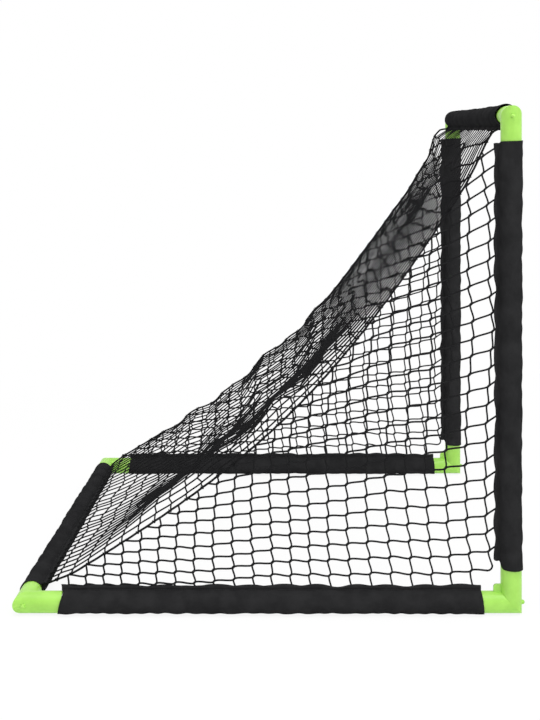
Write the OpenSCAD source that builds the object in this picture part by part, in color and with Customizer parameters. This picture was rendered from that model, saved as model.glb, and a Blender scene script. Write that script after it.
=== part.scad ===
// Portable hockey goal: six tubes pushed into six mitred corner fittings, and a net
// whose edges are sewn into the flanges of six fabric sleeves that slip over the tubes.
// The origin is on the floor under the middle of the goal. +X is the open front and
// +Z is up, so the left side, seen from the front, is at -Y. All sizes are millimetres.

/* [Frame] */
// Width of the goal over its corner fittings
goal_width = 610; // [450:5:1200]
// Depth of the goal over its corner fittings
goal_depth = 610; // [450:5:1200]
// Height of the goal over its corner fittings
goal_height = 610; // [450:5:1200]
// Outside diameter of the frame tubes
tube_d = 22; // [18:0.5:30]
// Wall of the frame tubes
tube_wall = 1.8; // [1:0.1:3]

/* [Corner fittings] */
// Wall of a fitting around the tube
socket_wall = 1.55; // [1.2:0.05:3]
// Depth to which a tube is pushed into a fitting
socket_depth = 30; // [25:1:60]
// Ledge inside a fitting that stops the tube
stop_ledge = 1.6; // [0.8:0.1:3]
// Chamfer at the mouth of each socket
mouth_chamfer = 0.6; // [0.2:0.1:1]
// Reach of the ear in the inner corner of a fitting
ear_reach = 8.7; // [4:0.1:10]
// Thickness of the ear
ear_t = 4; // [2:0.5:8]
// Corner radius of the ear
ear_corner = 3.6; // [1:0.1:4]
// Diameter of the moulding nub on the outside of a fitting
nub_d = 5.2; // [3:0.1:8]
// Height of the moulding nub
nub_h = 3.6; // [2:0.1:5]

/* [Sleeves] */
// Thickness of the sleeve fabric around a tube
sleeve_wall = 1.2; // [0.6:0.1:2]
// Distance from the axes of a corner to the end of a sleeve
sleeve_setback = 33; // [28:1:40]
// Width of the flange beyond the round of a sleeve
flange_width = 6.5; // [5:0.5:8]
// Width of the closed seam between the tube and the pocket for the net
seam_width = 1.5; // [1:0.1:2.5]
// Thickness of each of the two layers of a flange
flange_layer = 0.8; // [0.5:0.1:1.5]
// Depth to which the floor flattens the sleeves that lie on it
floor_flat = 0.5; // [0.2:0.1:1]

/* [Net] */
// Thickness of the twine
twine_d = 1.5; // [1:0.1:2.5]
// Mesh of the side nets
side_mesh = 23; // [20:1:60]
// Mesh of the back net, which holds every second twine
back_mesh = 46; // [40:1:120]
// Rise of the side nets' rows from the back of the goal to its posts
row_rise = 12; // [0:1:30]
// Angle by which the net leaves the rear bar below its chord
rear_droop = 14.5; // [6:0.5:22]
// Angle by which the net leaves the crossbar below its chord
top_droop = 12; // [6:0.5:22]
// Height of the ridge in which the slack lower half of the back net stands beside its left seam
ridge_height = 14; // [0:1:25]
// Depth of the trough beside that ridge
trough_depth = 14; // [0:1:25]
// Diameter of the cords that lace the back net to the side nets
seam_cord_d = 2.4; // [1.5:0.1:4]

/* [Fits] */
// Clearance around a tube in its socket
socket_ease = 0.15; // [0.1:0.05:0.4]
// Clearance between a fitting and the sleeve over it
sleeve_ease = 0.2; // [0.1:0.05:0.5]
// Clearance of the net in the pocket of a flange
pocket_ease = 0.15; // [0.1:0.05:0.4]
// Gap between pieces that rest against each other
rest_gap = 0.3; // [0.2:0.05:0.5]

/* [Hidden] */
$fn = 64;

green = [0.66, 0.89, 0.38];
fabric_black = [0.17, 0.17, 0.17];
net_black = [0.06, 0.06, 0.06];
tube_grey = [0.78, 0.79, 0.80];

// Radii, from the tube outwards
tube_r = tube_d / 2;
socket_r = tube_r + socket_ease;
fitting_r = socket_r + socket_wall;
passage_r = socket_r - stop_ledge;
sleeve_bore_r = fitting_r + sleeve_ease;
sleeve_r = sleeve_bore_r + sleeve_wall;

// Lengths of a fitting's leg: the ends of two tubes in one fitting stay clear of each other
tube_end_room = 4;
stop_at = tube_r + tube_end_room;
leg_length = stop_at + socket_depth;

// Flange of a sleeve, measured from the axis of its tube
half_twine = twine_d / 2;
flange_reach = sleeve_r + flange_width;
pocket_floor = sleeve_r + seam_width;
pocket_t = twine_d + 2 * pocket_ease;
flange_t = pocket_t + 2 * flange_layer;
hem_reach = pocket_floor + rest_gap + half_twine;

// Axes of the frame; the middle of the whole, nubs and sleeves included, is at x = 0
span_x = goal_depth - 2 * fitting_r;
span_y = goal_width - 2 * fitting_r;
span_z = goal_height - 2 * fitting_r;
front_reach = max(fitting_r + nub_h, sleeve_r);
middle_x = (sleeve_r - front_reach) / 2;
front_x = middle_x + span_x / 2;
rear_x = middle_x - span_x / 2;
side_y = span_y / 2;
base_z = sleeve_r - floor_flat;
top_z = base_z + span_z;

// Droop of the net in side view, from the rear bar to the crossbar
rear_axis = [rear_x, base_z];
top_axis = [front_x, top_z];
chord_angle = atan2(span_z, span_x);
rear_dir = [cos(chord_angle - rear_droop), sin(chord_angle - rear_droop)];
top_dir = -[cos(chord_angle + top_droop), sin(chord_angle + top_droop)];
rear_hem = rear_axis + hem_reach * rear_dir;
top_hem = top_axis + hem_reach * top_dir;
droop_pull = 0.45;
droop_reach = droop_pull * norm(top_hem - rear_hem);
rear_pull = rear_hem + droop_reach * rear_dir;
top_pull = top_hem + droop_reach * top_dir;

// The droop is a curve that both pulls bend, at s = 0 on the rear bar to 1 on the crossbar
function unit(v) = v / norm(v);
function curve(s) =
    let (r = 1 - s)
    pow(r, 3) * rear_hem + 3 * r * r * s * rear_pull + 3 * r * s * s * top_pull + pow(s, 3) * top_hem;
function curve_dir(s) =
    let (r = 1 - s)
    unit(r * r * (rear_pull - rear_hem) + 2 * r * s * (top_pull - rear_pull) + s * s * (top_hem - top_pull));

// Point and upward normal at the share t of the droop's length
curve_steps = 40;
curve_points = [for (k = [0:curve_steps]) curve(k / curve_steps)];
curve_length = [for (k = 0, l = 0; k <= curve_steps;
    l = l + (k < curve_steps ? norm(curve_points[k + 1] - curve_points[k]) : 0), k = k + 1) l];
droop_length = curve_length[curve_steps];
curve_shares = [for (k = [0:curve_steps]) [curve_length[k] / droop_length, k / curve_steps]];
function droop(t) = curve(lookup(t, curve_shares));
function droop_up(t) = let (d = curve_dir(lookup(t, curve_shares))) [-d[1], d[0]];

// A cord has its rings closest at its ends, where it turns out to the side net within a few rings
cord_sides = 8;
cord_rings = 33;
flare_rings = 5;
function ring_share(i) = (1 - cos(180 * i / (cord_rings - 1))) / 2;
flare_share = ring_share(flare_rings);

// Half width of the back net: within the sleeves at its hems, and out beside the seam cords between
lace_gap = 2 * rest_gap;
hem_half = side_y - sleeve_setback - rest_gap - half_twine;
mid_half = side_y - twine_d - seam_cord_d - lace_gap - rest_gap;
function smooth(x) = let (c = min(max(x, 0), 1)) c * c * (3 - 2 * c);
function flare(t) = min(t / flare_share, (1 - t) / flare_share, 1);
function back_half(t) = hem_half + (mid_half - hem_half) * flare(t);

// The slack part of the back net, at v = 0 on the left to 1 on the right, has a ridge and a trough
slack_low = 0.08;
slack_high = 0.54;
slack_ease = 0.12;
ridge_v = 0.1;
ridge_share = 0.14;
trough_v = 0.3;
trough_share = 0.28;
edge_share = 0.08;
function bump(x) = abs(x) < 1 ? pow(cos(90 * x), 2) : 0;
function slack(t) = smooth(min(t - slack_low, slack_high - t) / slack_ease);
function fold(t, v) =
    slack(t) * smooth(min(v, 1 - v) / edge_share)
    * (ridge_height * bump((v - ridge_v) / ridge_share) - trough_depth * bump((v - trough_v) / trough_share));

// Pieces on the right mirror those on the left
module right() mirror([0, 1, 0]) children();

// Two equal round legs along +X and +Z that meet in a mitre at the origin
module mitred_legs(r, length) {
    rotate([0, 90, 0]) cylinder(r = r, h = length);
    cylinder(r = r, h = length);
    intersection() {
        rotate([0, 90, 0]) cylinder(r = r, h = 2 * r, center = true);
        cylinder(r = r, h = 2 * r, center = true);
    }
}

module socket() {
    translate([0, 0, stop_at]) cylinder(r = socket_r, h = socket_depth + 1);
    translate([0, 0, leg_length - mouth_chamfer])
        cylinder(r1 = socket_r, r2 = socket_r + mouth_chamfer, h = mouth_chamfer + 0.01);
}

module ear() {
    inner = fitting_r - socket_wall / 2;
    outer = fitting_r + ear_reach;
    rotate([90, 0, 0])
        linear_extrude(ear_t, center = true)
            difference() {
                translate([inner, inner]) square(outer - inner);
                translate([outer - ear_corner, outer - ear_corner])
                    difference() {
                        square(ear_corner + 1);
                        circle(r = ear_corner);
                    }
            }
}

// The nub stands on the outside of the corner, in line with the leg along +X
module nub() {
    nub_r = nub_d / 2;
    straight = nub_h - nub_r;
    root = fitting_r - socket_wall / 2;
    translate([-root, 0, 0]) rotate([0, -90, 0]) cylinder(r = nub_r, h = fitting_r + straight - root);
    translate([-fitting_r - straight, 0, 0]) sphere(r = nub_r);
}

module elbow() {
    color(green)
        difference() {
            union() {
                mitred_legs(fitting_r, leg_length);
                ear();
                nub();
            }
            mitred_legs(passage_r, leg_length + 1);
            socket();
            rotate([0, 90, 0]) mirror([0, 1, 0]) socket();
        }
}

module left_top_elbow() {
    translate([front_x, -side_y, top_z]) rotate([0, 0, 90]) mirror([0, 0, 1]) elbow();
}

module left_front_elbow() {
    translate([front_x, -side_y, base_z]) rotate([0, 0, 180]) elbow();
}

module left_rear_elbow() {
    translate([rear_x, -side_y, base_z]) rotate([90, 0, 90]) elbow();
}

// A tube along +Z between the axes of two corners that lie `span` apart
module frame_tube(span) {
    length = span - 2 * (stop_at + rest_gap);
    color(tube_grey)
        translate([0, 0, stop_at + rest_gap])
            difference() {
                cylinder(r = tube_r, h = length);
                translate([0, 0, -1]) cylinder(r = tube_r - tube_wall, h = length + 2);
            }
}

// A sleeve along +Z in the same place, with its flange towards +X
module sleeve(span) {
    color(fabric_black)
        translate([0, 0, sleeve_setback])
            linear_extrude(span - 2 * sleeve_setback)
                difference() {
                    union() {
                        circle(r = sleeve_r);
                        translate([0, -flange_t / 2]) square([flange_reach, flange_t]);
                    }
                    circle(r = sleeve_bore_r);
                    translate([pocket_floor, -pocket_t / 2]) square([flange_width, pocket_t]);
                }
}

// Along +Y from the left, with +X turned by `angle` towards +Z in side view
module along_y(angle) {
    rotate([0, -angle, 0]) translate([0, -side_y, 0]) rotate([-90, 0, 0]) children();
}

module at_crossbar() {
    translate([front_x, 0, top_z]) along_y(180 + chord_angle + top_droop) children();
}

module at_rear_bar() {
    translate([rear_x, 0, base_z]) along_y(chord_angle - rear_droop) children();
}

module at_left_post() {
    translate([front_x, -side_y, base_z]) rotate([0, 0, 180]) children();
}

module at_left_base() {
    translate([front_x, -side_y, base_z]) rotate([0, -90, 0]) children();
}

// The floor flattens what lies on it
module on_floor() {
    far = goal_width + goal_depth;
    difference() {
        children();
        translate([-far, -far, -far]) cube([2 * far, 2 * far, far]);
    }
}

module left_post_tube() at_left_post() frame_tube(span_z);
module left_base_tube() at_left_base() frame_tube(span_x);
module left_post_sleeve() at_left_post() sleeve(span_z);
module left_base_sleeve() on_floor() at_left_base() sleeve(span_x);

// Side net, drawn in side view with x forward and y up. Column 0 and row 0 are the hems in
// the flanges; column 1 and row 1 are the first in the open, and meet in a free round corner.
side_hem = [front_x - hem_reach, base_z + hem_reach];
first_column = side_hem[0] - side_mesh / 2;
first_row = base_z + sleeve_setback + twine_d;
columns = ceil((first_column - rear_hem[0]) / side_mesh);
rows = ceil((top_z - first_row) / side_mesh);
corner_r = 6;
level_rows = 4;
droop_steps = 24;

function column_x(i) = i == 0 ? side_hem[0] : first_column - (i - 1) * side_mesh;

// The rows rise towards the posts, from the lowest one, which is level, to the row `level_rows` above
function row_rise_at(x) = row_rise * pow((x - rear_x) / span_x, 2);
function row_z(i, j) =
    let (share = min((j - 1) / level_rows, 1))
    j == 0 ? side_hem[1] : first_row + (j - 1) * side_mesh + share * row_rise_at(column_x(i));

// The opening between columns i and i + 1 and rows j and j + 1
module side_gap(i, j) {
    left = column_x(i + 1) + half_twine;
    right = column_x(i) - half_twine;
    polygon([
        [left, row_z(i + 1, j) + half_twine], [right, row_z(i, j) + half_twine],
        [right, row_z(i, j + 1) - half_twine], [left, row_z(i + 1, j + 1) - half_twine]
    ]);
}

// All that lies below the droop by `inset` and inside the hems by as much
module side_region(inset) {
    hem = [side_hem[0] + half_twine - inset, side_hem[1] - half_twine + inset];
    intersection() {
        polygon(concat(
            [for (k = [0:droop_steps]) let (t = k / droop_steps) droop(t) - inset * droop_up(t)],
            [[front_x, top_hem[1]], [front_x, 0], [rear_x, 0]]
        ));
        translate([rear_x, hem[1]]) square([hem[0] - rear_x, top_z - sleeve_setback - inset - hem[1]]);
    }
}

// What the net lacks at its free corner, where both sleeves have ended
module side_notch() {
    edge = [column_x(1) + half_twine, row_z(1, 1) - half_twine];
    far = 2 * side_mesh + hem_reach;
    translate([column_x(2) + half_twine, edge[1] - far]) square([far, far]);
    translate([edge[0], row_z(1, 2) - half_twine - far]) square([far, far]);
    translate([edge[0] - corner_r, edge[1] + corner_r])
        difference() {
            translate([0, -corner_r - 1]) square([corner_r + 1, corner_r + 1]);
            circle(r = corner_r);
        }
}

module left_side_net() {
    color(net_black)
        translate([0, -side_y, 0])
            rotate([90, 0, 0])
                linear_extrude(twine_d, center = true)
                    difference() {
                        side_region(0);
                        side_notch();
                        intersection() {
                            union() {
                                for (i = [1:columns], j = [1:rows]) side_gap(i, j);
                                for (j = [2:rows]) side_gap(0, j);
                                for (i = [2:columns]) side_gap(i, 0);
                            }
                            side_region(twine_d);
                        }
                    }
}

// Back net: a lattice of twines on the drooping, folded surface
function back_point(t, v) =
    let (p = droop(t) + fold(t, v) * droop_up(t)) [p[0], back_half(t) * (2 * v - 1), p[1]];

// The eight corners of the knot at t, v
function knot(t, v) =
    let (
        e = 0.002,
        p = back_point(t, v),
        across = unit(back_point(t, v + e) - back_point(t, v - e)) * half_twine,
        along = unit(back_point(min(t + e, 1), v) - back_point(max(t - e, 0), v)) * half_twine,
        up = unit(cross(along, across)) * half_twine
    )
    [for (side = [-1, 1], c = [[-1, -1], [1, -1], [1, 1], [-1, 1]])
        p + c[0] * across + c[1] * along + side * up];

// Two triangles for each four-cornered face
function quad(a, b, c, d) = [[a, b, c], [a, c, d]];

// One body of `gaps_v` by `gaps_t` gaps: each knot has corners 0 to 3 below and 4 to 7 above them
module lattice(gaps_v, gaps_t) {
    points = [for (i = [0:gaps_v], j = [0:gaps_t]) each knot(j / gaps_t, i / gaps_v)];
    function at(i, j, c) = 8 * (i * (gaps_t + 1) + j) + c;
    function flat(a, b, c, d) = concat(quad(d, c, b, a), quad(a + 4, b + 4, c + 4, d + 4));
    function wall(a, b) = quad(a, b, b + 4, a + 4);
    knots = [for (i = [0:gaps_v], j = [0:gaps_t])
        each flat(at(i, j, 0), at(i, j, 1), at(i, j, 2), at(i, j, 3))];
    across = [for (i = [0:gaps_v - 1], j = [0:gaps_t])
        each flat(at(i, j, 1), at(i + 1, j, 0), at(i + 1, j, 3), at(i, j, 2))];
    along = [for (i = [0:gaps_v], j = [0:gaps_t - 1])
        each flat(at(i, j, 3), at(i, j, 2), at(i, j + 1, 1), at(i, j + 1, 0))];
    holes = [for (i = [0:gaps_v - 1], j = [0:gaps_t - 1]) each concat(
        wall(at(i + 1, j, 3), at(i, j, 2)),
        wall(at(i + 1, j + 1, 0), at(i + 1, j, 3)),
        wall(at(i, j + 1, 1), at(i + 1, j + 1, 0)),
        wall(at(i, j, 2), at(i, j + 1, 1))
    )];
    ends = [for (i = [0:gaps_v]) each concat(
        wall(at(i, 0, 0), at(i, 0, 1)),
        i < gaps_v ? wall(at(i, 0, 1), at(i + 1, 0, 0)) : [],
        wall(at(i, gaps_t, 2), at(i, gaps_t, 3)),
        i < gaps_v ? wall(at(i + 1, gaps_t, 3), at(i, gaps_t, 2)) : []
    )];
    sides = [for (j = [0:gaps_t]) each concat(
        wall(at(0, j, 3), at(0, j, 0)),
        j < gaps_t ? wall(at(0, j + 1, 0), at(0, j, 3)) : [],
        wall(at(gaps_v, j, 1), at(gaps_v, j, 2)),
        j < gaps_t ? wall(at(gaps_v, j, 2), at(gaps_v, j + 1, 1)) : []
    )];
    polyhedron(points, concat(knots, across, along, holes, ends, sides), convexity = 10);
}

module back_net() {
    color(net_black)
        lattice(round(2 * mid_half / back_mesh), round(droop_length / back_mesh));
}

// A seam cord runs down the edge of the back net, inside the side net
function cord_ring(t) =
    let (
        p = droop(t),
        up = droop_up(t),
        y = -back_half(t) - half_twine - lace_gap - seam_cord_d / 2
    )
    [for (k = [0:cord_sides - 1])
        let (a = 360 * k / cord_sides, u = cos(a) * seam_cord_d / 2, w = sin(a) * seam_cord_d / 2)
        [p[0] + w * up[0], y + u, p[1] + w * up[1]]];

module left_seam_cord() {
    points = [for (i = [0:cord_rings - 1]) each cord_ring(ring_share(i))];
    last = cord_sides * (cord_rings - 1);
    walls = [for (i = [0:cord_rings - 2], k = [0:cord_sides - 1])
        let (a = cord_sides * i + k, b = cord_sides * i + (k + 1) % cord_sides)
        each quad(a, b, b + cord_sides, a + cord_sides)];
    first_cap = [for (k = [1:cord_sides - 2]) [0, k + 1, k]];
    last_cap = [for (k = [1:cord_sides - 2]) [last, last + k, last + k + 1]];
    color(net_black) polyhedron(points, concat(walls, first_cap, last_cap));
}

left_top_elbow();
right() left_top_elbow();  // right_top_elbow
left_front_elbow();
right() left_front_elbow();  // right_front_elbow
left_rear_elbow();
right() left_rear_elbow();  // right_rear_elbow
at_crossbar() frame_tube(span_y);  // crossbar_tube
left_post_tube();
right() left_post_tube();  // right_post_tube
left_base_tube();
right() left_base_tube();  // right_base_tube
at_rear_bar() frame_tube(span_y);  // rear_bar_tube
at_crossbar() sleeve(span_y);  // crossbar_sleeve
left_post_sleeve();
right() left_post_sleeve();  // right_post_sleeve
left_base_sleeve();
right() left_base_sleeve();  // right_base_sleeve
on_floor() at_rear_bar() sleeve(span_y);  // rear_bar_sleeve
left_side_net();
right() left_side_net();  // right_side_net
back_net();
left_seam_cord();
right() left_seam_cord();  // right_seam_cord
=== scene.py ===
import math

import bpy
import numpy as np
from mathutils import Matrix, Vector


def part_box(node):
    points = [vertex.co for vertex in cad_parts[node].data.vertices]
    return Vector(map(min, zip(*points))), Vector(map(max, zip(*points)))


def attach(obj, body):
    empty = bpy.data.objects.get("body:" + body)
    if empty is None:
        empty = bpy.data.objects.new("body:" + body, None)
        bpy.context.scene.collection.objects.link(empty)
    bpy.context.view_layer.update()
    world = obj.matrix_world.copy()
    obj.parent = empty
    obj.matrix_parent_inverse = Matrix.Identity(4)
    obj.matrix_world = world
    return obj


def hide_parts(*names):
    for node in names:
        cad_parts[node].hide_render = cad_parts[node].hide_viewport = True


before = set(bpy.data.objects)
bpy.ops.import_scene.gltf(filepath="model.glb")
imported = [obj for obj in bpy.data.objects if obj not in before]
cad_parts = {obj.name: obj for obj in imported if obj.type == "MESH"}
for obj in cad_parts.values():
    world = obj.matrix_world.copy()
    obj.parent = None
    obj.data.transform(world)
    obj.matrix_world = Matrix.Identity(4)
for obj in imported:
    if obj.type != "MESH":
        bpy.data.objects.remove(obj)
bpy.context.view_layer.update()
mm = 0.001
print("frame loaded:", len(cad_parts), "parts")


# Where the pipes lie

def middle(part):
    low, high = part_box(part)
    return (np.array(low) + np.array(high)) / 2


frontX, sideY = middle("left_post_tube")[0], -middle("left_post_tube")[1]
rearX, baseZ = middle("rear_bar_tube")[0], middle("left_base_tube")[2]
topZ = middle("crossbar_tube")[2]


# Camera, light and floor

view = {
    "eye": (0.0474, -1.7363, 0.5828),
    "image": (540, 720),
    "focal": 1200,  # in pixels of the image
    "vanish": (308.5, 128.8),  # where lines that run straight away from the eye meet
    "sensor": 36,
}

camera = bpy.data.objects.new("camera", bpy.data.cameras.new("camera"))
bpy.context.scene.collection.objects.link(camera)
bpy.context.scene.camera = camera
camera.location = view["eye"]
camera.rotation_euler = (math.pi / 2, 0, 0)
camera.data.sensor_fit = "VERTICAL"
camera.data.sensor_height = view["sensor"]
camera.data.lens = view["sensor"] * view["focal"] / view["image"][1]
camera.data.shift_x = (view["image"][0] / 2 - view["vanish"][0]) / view["image"][1]
camera.data.shift_y = (view["vanish"][1] - view["image"][1] / 2) / view["image"][1]
bpy.context.scene.view_settings.view_transform = "Standard"


class Wire:
    # a socket that can stand in sums
    def __init__(self, board, socket):
        self.board = board
        self.socket = socket

    def __add__(self, other):
        return self.board.sum("ADD", self, other)

    def __sub__(self, other):
        return self.board.sum("SUBTRACT", self, other)

    def __rsub__(self, other):
        return self.board.sum("SUBTRACT", other, self)

    def __mul__(self, other):
        return self.board.sum("MULTIPLY", self, other)

    def __truediv__(self, other):
        return self.board.sum("DIVIDE", self, other)

    __radd__ = __add__
    __rmul__ = __mul__


class Board:
    # a node tree and the few calls that fill it
    def __init__(self, owner):
        owner.use_nodes = True
        self.owner = owner
        self.tree = owner.node_tree

    def plug(self, socket, value):
        if isinstance(value, Wire):
            self.tree.links.new(value.socket, socket)
        else:
            socket.default_value = value

    def node(self, kind, settings=None, sockets=None, output=0):
        made = self.tree.nodes.new("ShaderNode" + kind)
        for name, value in (settings or {}).items():
            setattr(made, name, value)
        for name, value in (sockets or {}).items():
            self.plug(made.inputs[name], value)
        return Wire(self, made.outputs[output])

    def sum(self, operation, first, second=0.0):
        return self.node("Math", {"operation": operation}, {0: first, 1: second})

    def between(self, value, low, high):
        # 0 below low, 1 above high, smooth between
        spread = {"Value": value, "From Min": low, "From Max": high}
        return self.node("MapRange", {"interpolation_type": "SMOOTHSTEP"}, spread)

    def mix(self, share, first, second):
        return self.node("Mix", {"data_type": "RGBA"}, {0: share, 6: first, 7: second}, 2)

    def blend(self, shares, wires):
        return sum(wire * share for share, wire in zip(shares, wires))

    def place(self):
        return self.node("TexCoord", output="Object")

    def noise(self, place, size, detail=2.0, stretch=(1, 1, 1)):
        # soft noise from 0 to 1 with lumps of about that size in metres
        scale = tuple(1 / (size * s) for s in stretch)
        spot = self.node("VectorMath", {"operation": "MULTIPLY"}, {0: place, 1: scale})
        return self.node("TexNoise", None, {"Vector": spot, "Scale": 1.0, "Detail": detail})

    def sine(self, way, length):
        # a wave of that length
        return self.sum("SINE", way * (2 * math.pi / length))

    def clothWay(self):
        # metres along a strand or a sleeve, and the way round it
        made = self.node("SeparateXYZ", None, {0: self.node("TexCoord", output="UV")})
        return [Wire(self, made.socket.node.outputs[k]) for k in range(2)]

    def bump(self, height, depth):
        return self.node("Bump", None, {"Height": height, "Distance": depth, "Strength": 1.0}, "Normal")

    def paint(self, sockets):
        shader = self.tree.nodes["Principled BSDF"]
        for name, value in sockets.items():
            self.plug(shader.inputs[name], value)


def srgb(*levels):
    # a colour as the screen shows it, 0 to 255, in the linear values of a shader
    shares = [level / 255 for level in levels]
    return tuple(c / 12.92 if c < 0.04 else ((c + 0.055) / 1.055) ** 2.4 for c in shares) + (1.0,)


studio = {
    "ambient": 0.56,
    # each lamp: place, size and power
    "key": ((2.2, -1.9, 2.0), 1.6, 28.0),
    "top": ((0.2, -0.9, 3.0), 2.2, 56.0),
    "fill": ((-2.4, -1.6, 1.4), 2.0, 3.0),
    "aim": (0, 0, 0.25),
    "floorSize": 40.0,
    "floorDrop": 0.2 * mm,
    "floorTones": ((252, 252, 252), (255, 255, 255)),
    "floorCloud": 0.4,
    "floorRough": (-1.0, 2.0),  # values of the noise where the floor would be all gloss and all matt
    "floorWhite": 0.90,  # share of plain white in what the camera sees of the floor
    "shadowReach": (0.5, 1.3),  # the shadow fades between them, and plain white lies beyond
}


def addLamp(name):
    place, size, power = studio[name]
    lamp = bpy.data.objects.new(name, bpy.data.lights.new(name, "AREA"))
    lamp.data.shape = "DISK"
    lamp.data.size = size
    lamp.data.energy = power
    lamp.location = place
    aim = np.array(studio["aim"]) - np.array(place)
    level = math.hypot(aim[0], aim[1])
    lamp.rotation_euler = (math.atan2(level, -aim[2]), 0, math.atan2(-aim[0], aim[1]))
    bpy.context.scene.collection.objects.link(lamp)


def seenDirectly(board):
    # 1 for what the camera sees, straight or in a mirror, and 0 for what lights the object
    kinds = ("Is Camera Ray", "Is Glossy Ray", "Is Transmission Ray")
    rays = [board.node("LightPath", output=kind) for kind in kinds]
    return board.sum("MINIMUM", rays[0] + rays[1] + rays[2], 1.0)


def lightWorld():
    world = bpy.data.worlds.new("studio")
    bpy.context.scene.world = world
    board = Board(world)
    strength = seenDirectly(board) * (1 - studio["ambient"]) + studio["ambient"]
    board.plug(board.tree.nodes["Background"].inputs["Color"], (1, 1, 1, 1))
    board.plug(board.tree.nodes["Background"].inputs["Strength"], strength)


def floorFinish():
    board = Board(bpy.data.materials.new("floor_white"))
    place = board.place()
    cloud = board.noise(place, studio["floorCloud"])
    board.paint({
        "Base Color": board.mix(cloud, *[srgb(*tone) for tone in studio["floorTones"]]),
        "Roughness": board.between(cloud, *studio["floorRough"]),
        "Specular IOR Level": 0.0,
    })
    plain = board.node("Emission", None, {"Color": (1, 1, 1, 1), "Strength": 1.0})
    shaded = Wire(board, board.tree.nodes["Principled BSDF"].outputs[0])
    away = board.node("VectorMath", {"operation": "LENGTH"}, {0: place}, "Value")
    fade = board.between(away, *studio["shadowReach"])
    white = fade * (1 - studio["floorWhite"]) + studio["floorWhite"]
    both = board.node("MixShader", None, {0: seenDirectly(board) * white, 1: shaded, 2: plain})
    board.plug(board.tree.nodes["Material Output"].inputs["Surface"], both)
    return board.owner


def addMesh(name, points, faces, finish=None, uvs=None):
    mesh = bpy.data.meshes.new(name)
    mesh.from_pydata(np.asarray(points).tolist(), [], faces)
    mesh.shade_smooth()
    if uvs is not None:
        layer = mesh.uv_layers.new(name="cloth")
        layer.data.foreach_set("uv", np.asarray(uvs, float).ravel())
    if finish is not None:
        mesh.materials.append(finish)
    made = bpy.data.objects.new(name, mesh)
    bpy.context.scene.collection.objects.link(made)
    return made


def addFloor():
    reach, depth = studio["floorSize"], -studio["floorDrop"]
    ground = [(x * reach, y * reach, depth) for x, y in ((-1, -1), (1, -1), (1, 1), (-1, 1))]
    return addMesh("floor", ground, [(0, 1, 2, 3)], floorFinish())


lightWorld()
for name in ("key", "top", "fill"):
    addLamp(name)
floor = addFloor()
print("camera, lamps and floor are up")


# Green fittings, and the pipes inside them

fitting = {
    "face": (166, 222, 94),
    "deep": (155, 212, 84),
    "pale": (178, 232, 104),
    "cloud": 18 * mm,
    "cloudEdge": (0.3, 0.7),
    "scuff": 6 * mm,
    "scuffStretch": (1, 0.2, 1),
    "scuffEdge": (0.58, 0.75),
    "scuffTint": 0.35,
    "grain": 0.5 * mm,
    "grainShare": 0.6,  # of the relief, the cloud has the rest
    "relief": 0.03 * mm,
    "roughness": 0.36,
    "cloudRough": 0.08,
    "scuffRough": 0.12,
    "refraction": 1.48,
    "glow": 0.06,  # share of the light that goes a little way in, and how far it goes
    "glowReach": (0.6 * mm, 1.0 * mm, 0.3 * mm),
}

pipe = {
    "dark": (190, 192, 194),
    "light": (212, 213, 214),
    "streak": 3 * mm,
    "streakStretch": (8, 8, 1),
    "roughness": 0.35,
    "streakRough": 0.15,
    "relief": 0.02 * mm,
}


def greenPlastic():
    look = fitting
    board = Board(bpy.data.materials.new("green_plastic"))
    place = board.place()
    cloud = board.between(board.noise(place, look["cloud"], 3.0), *look["cloudEdge"])
    grain = board.noise(place, look["grain"])
    scuffs = board.noise(place, look["scuff"], 4.0, look["scuffStretch"])
    scuffs = board.between(scuffs, *look["scuffEdge"])
    tone = board.mix(cloud, srgb(*look["deep"]), srgb(*look["face"]))
    relief = grain * look["grainShare"] + cloud * (1 - look["grainShare"])
    board.paint({
        "Base Color": board.mix(scuffs * look["scuffTint"], tone, srgb(*look["pale"])),
        "Roughness": cloud * look["cloudRough"] + scuffs * look["scuffRough"] + look["roughness"],
        "IOR": look["refraction"],
        "Subsurface Weight": look["glow"],
        "Subsurface Radius": look["glowReach"],
        "Normal": board.bump(relief, look["relief"]),
    })
    return board.owner


def pipePlastic():
    board = Board(bpy.data.materials.new("pipe_plastic"))
    streaks = board.noise(board.place(), pipe["streak"], 3.0, pipe["streakStretch"])
    board.paint({
        "Base Color": board.mix(streaks, srgb(*pipe["dark"]), srgb(*pipe["light"])),
        "Roughness": streaks * pipe["streakRough"] + pipe["roughness"],
        "Normal": board.bump(streaks, pipe["relief"]),
    })
    return board.owner


green, pipeGrey = greenPlastic(), pipePlastic()
for name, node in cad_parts.items():
    for slot in node.material_slots:
        slot.material = green if name.endswith("elbow") else pipeGrey
print("fittings and pipes have their finish")


# The curve in which the net hangs, and the tubes that twines and cords are made of

droop = {
    "rearAngle": 14.5,  # degrees below the chord
    "topAngle": 12.0,
    "pull": 0.45,  # share of the chord
    "hemReach": 16.65 * mm,  # from the axis of a pipe to the hem in its flange
    "hemHalf": 258.25 * mm,  # half the width of the net at its hems
    "netHalf": 287.5 * mm,  # and between them
    "flare": 0.06,  # share of the length in which the net widens from its hem
    "steps": 400,
}


def unit(vectors):
    vectors = np.asarray(vectors, float)
    return vectors / np.maximum(np.linalg.norm(vectors, axis=-1, keepdims=True), 1e-12)


def smooth(x):
    x = np.clip(x, 0, 1)
    return x * x * (3 - 2 * x)


def ramp(x, zeroAt, oneAt):
    # from 0 to 1 between the two, in either direction
    return smooth((x - zeroAt) / (oneAt - zeroAt))


def hump(x):
    # 1 at 0, falling to 0 at -1 and 1
    return np.cos(np.pi / 2 * np.clip(x, -1, 1)) ** 2


def blend(pair, share):
    return pair[0] + share * (pair[1] - pair[0])


def lookUp(pairs, x):
    # the value that runs straight from pair to pair
    return np.interp(x, *zip(*pairs))


def heading(degrees):
    return np.array([math.cos(math.radians(degrees)), math.sin(math.radians(degrees))])


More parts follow.
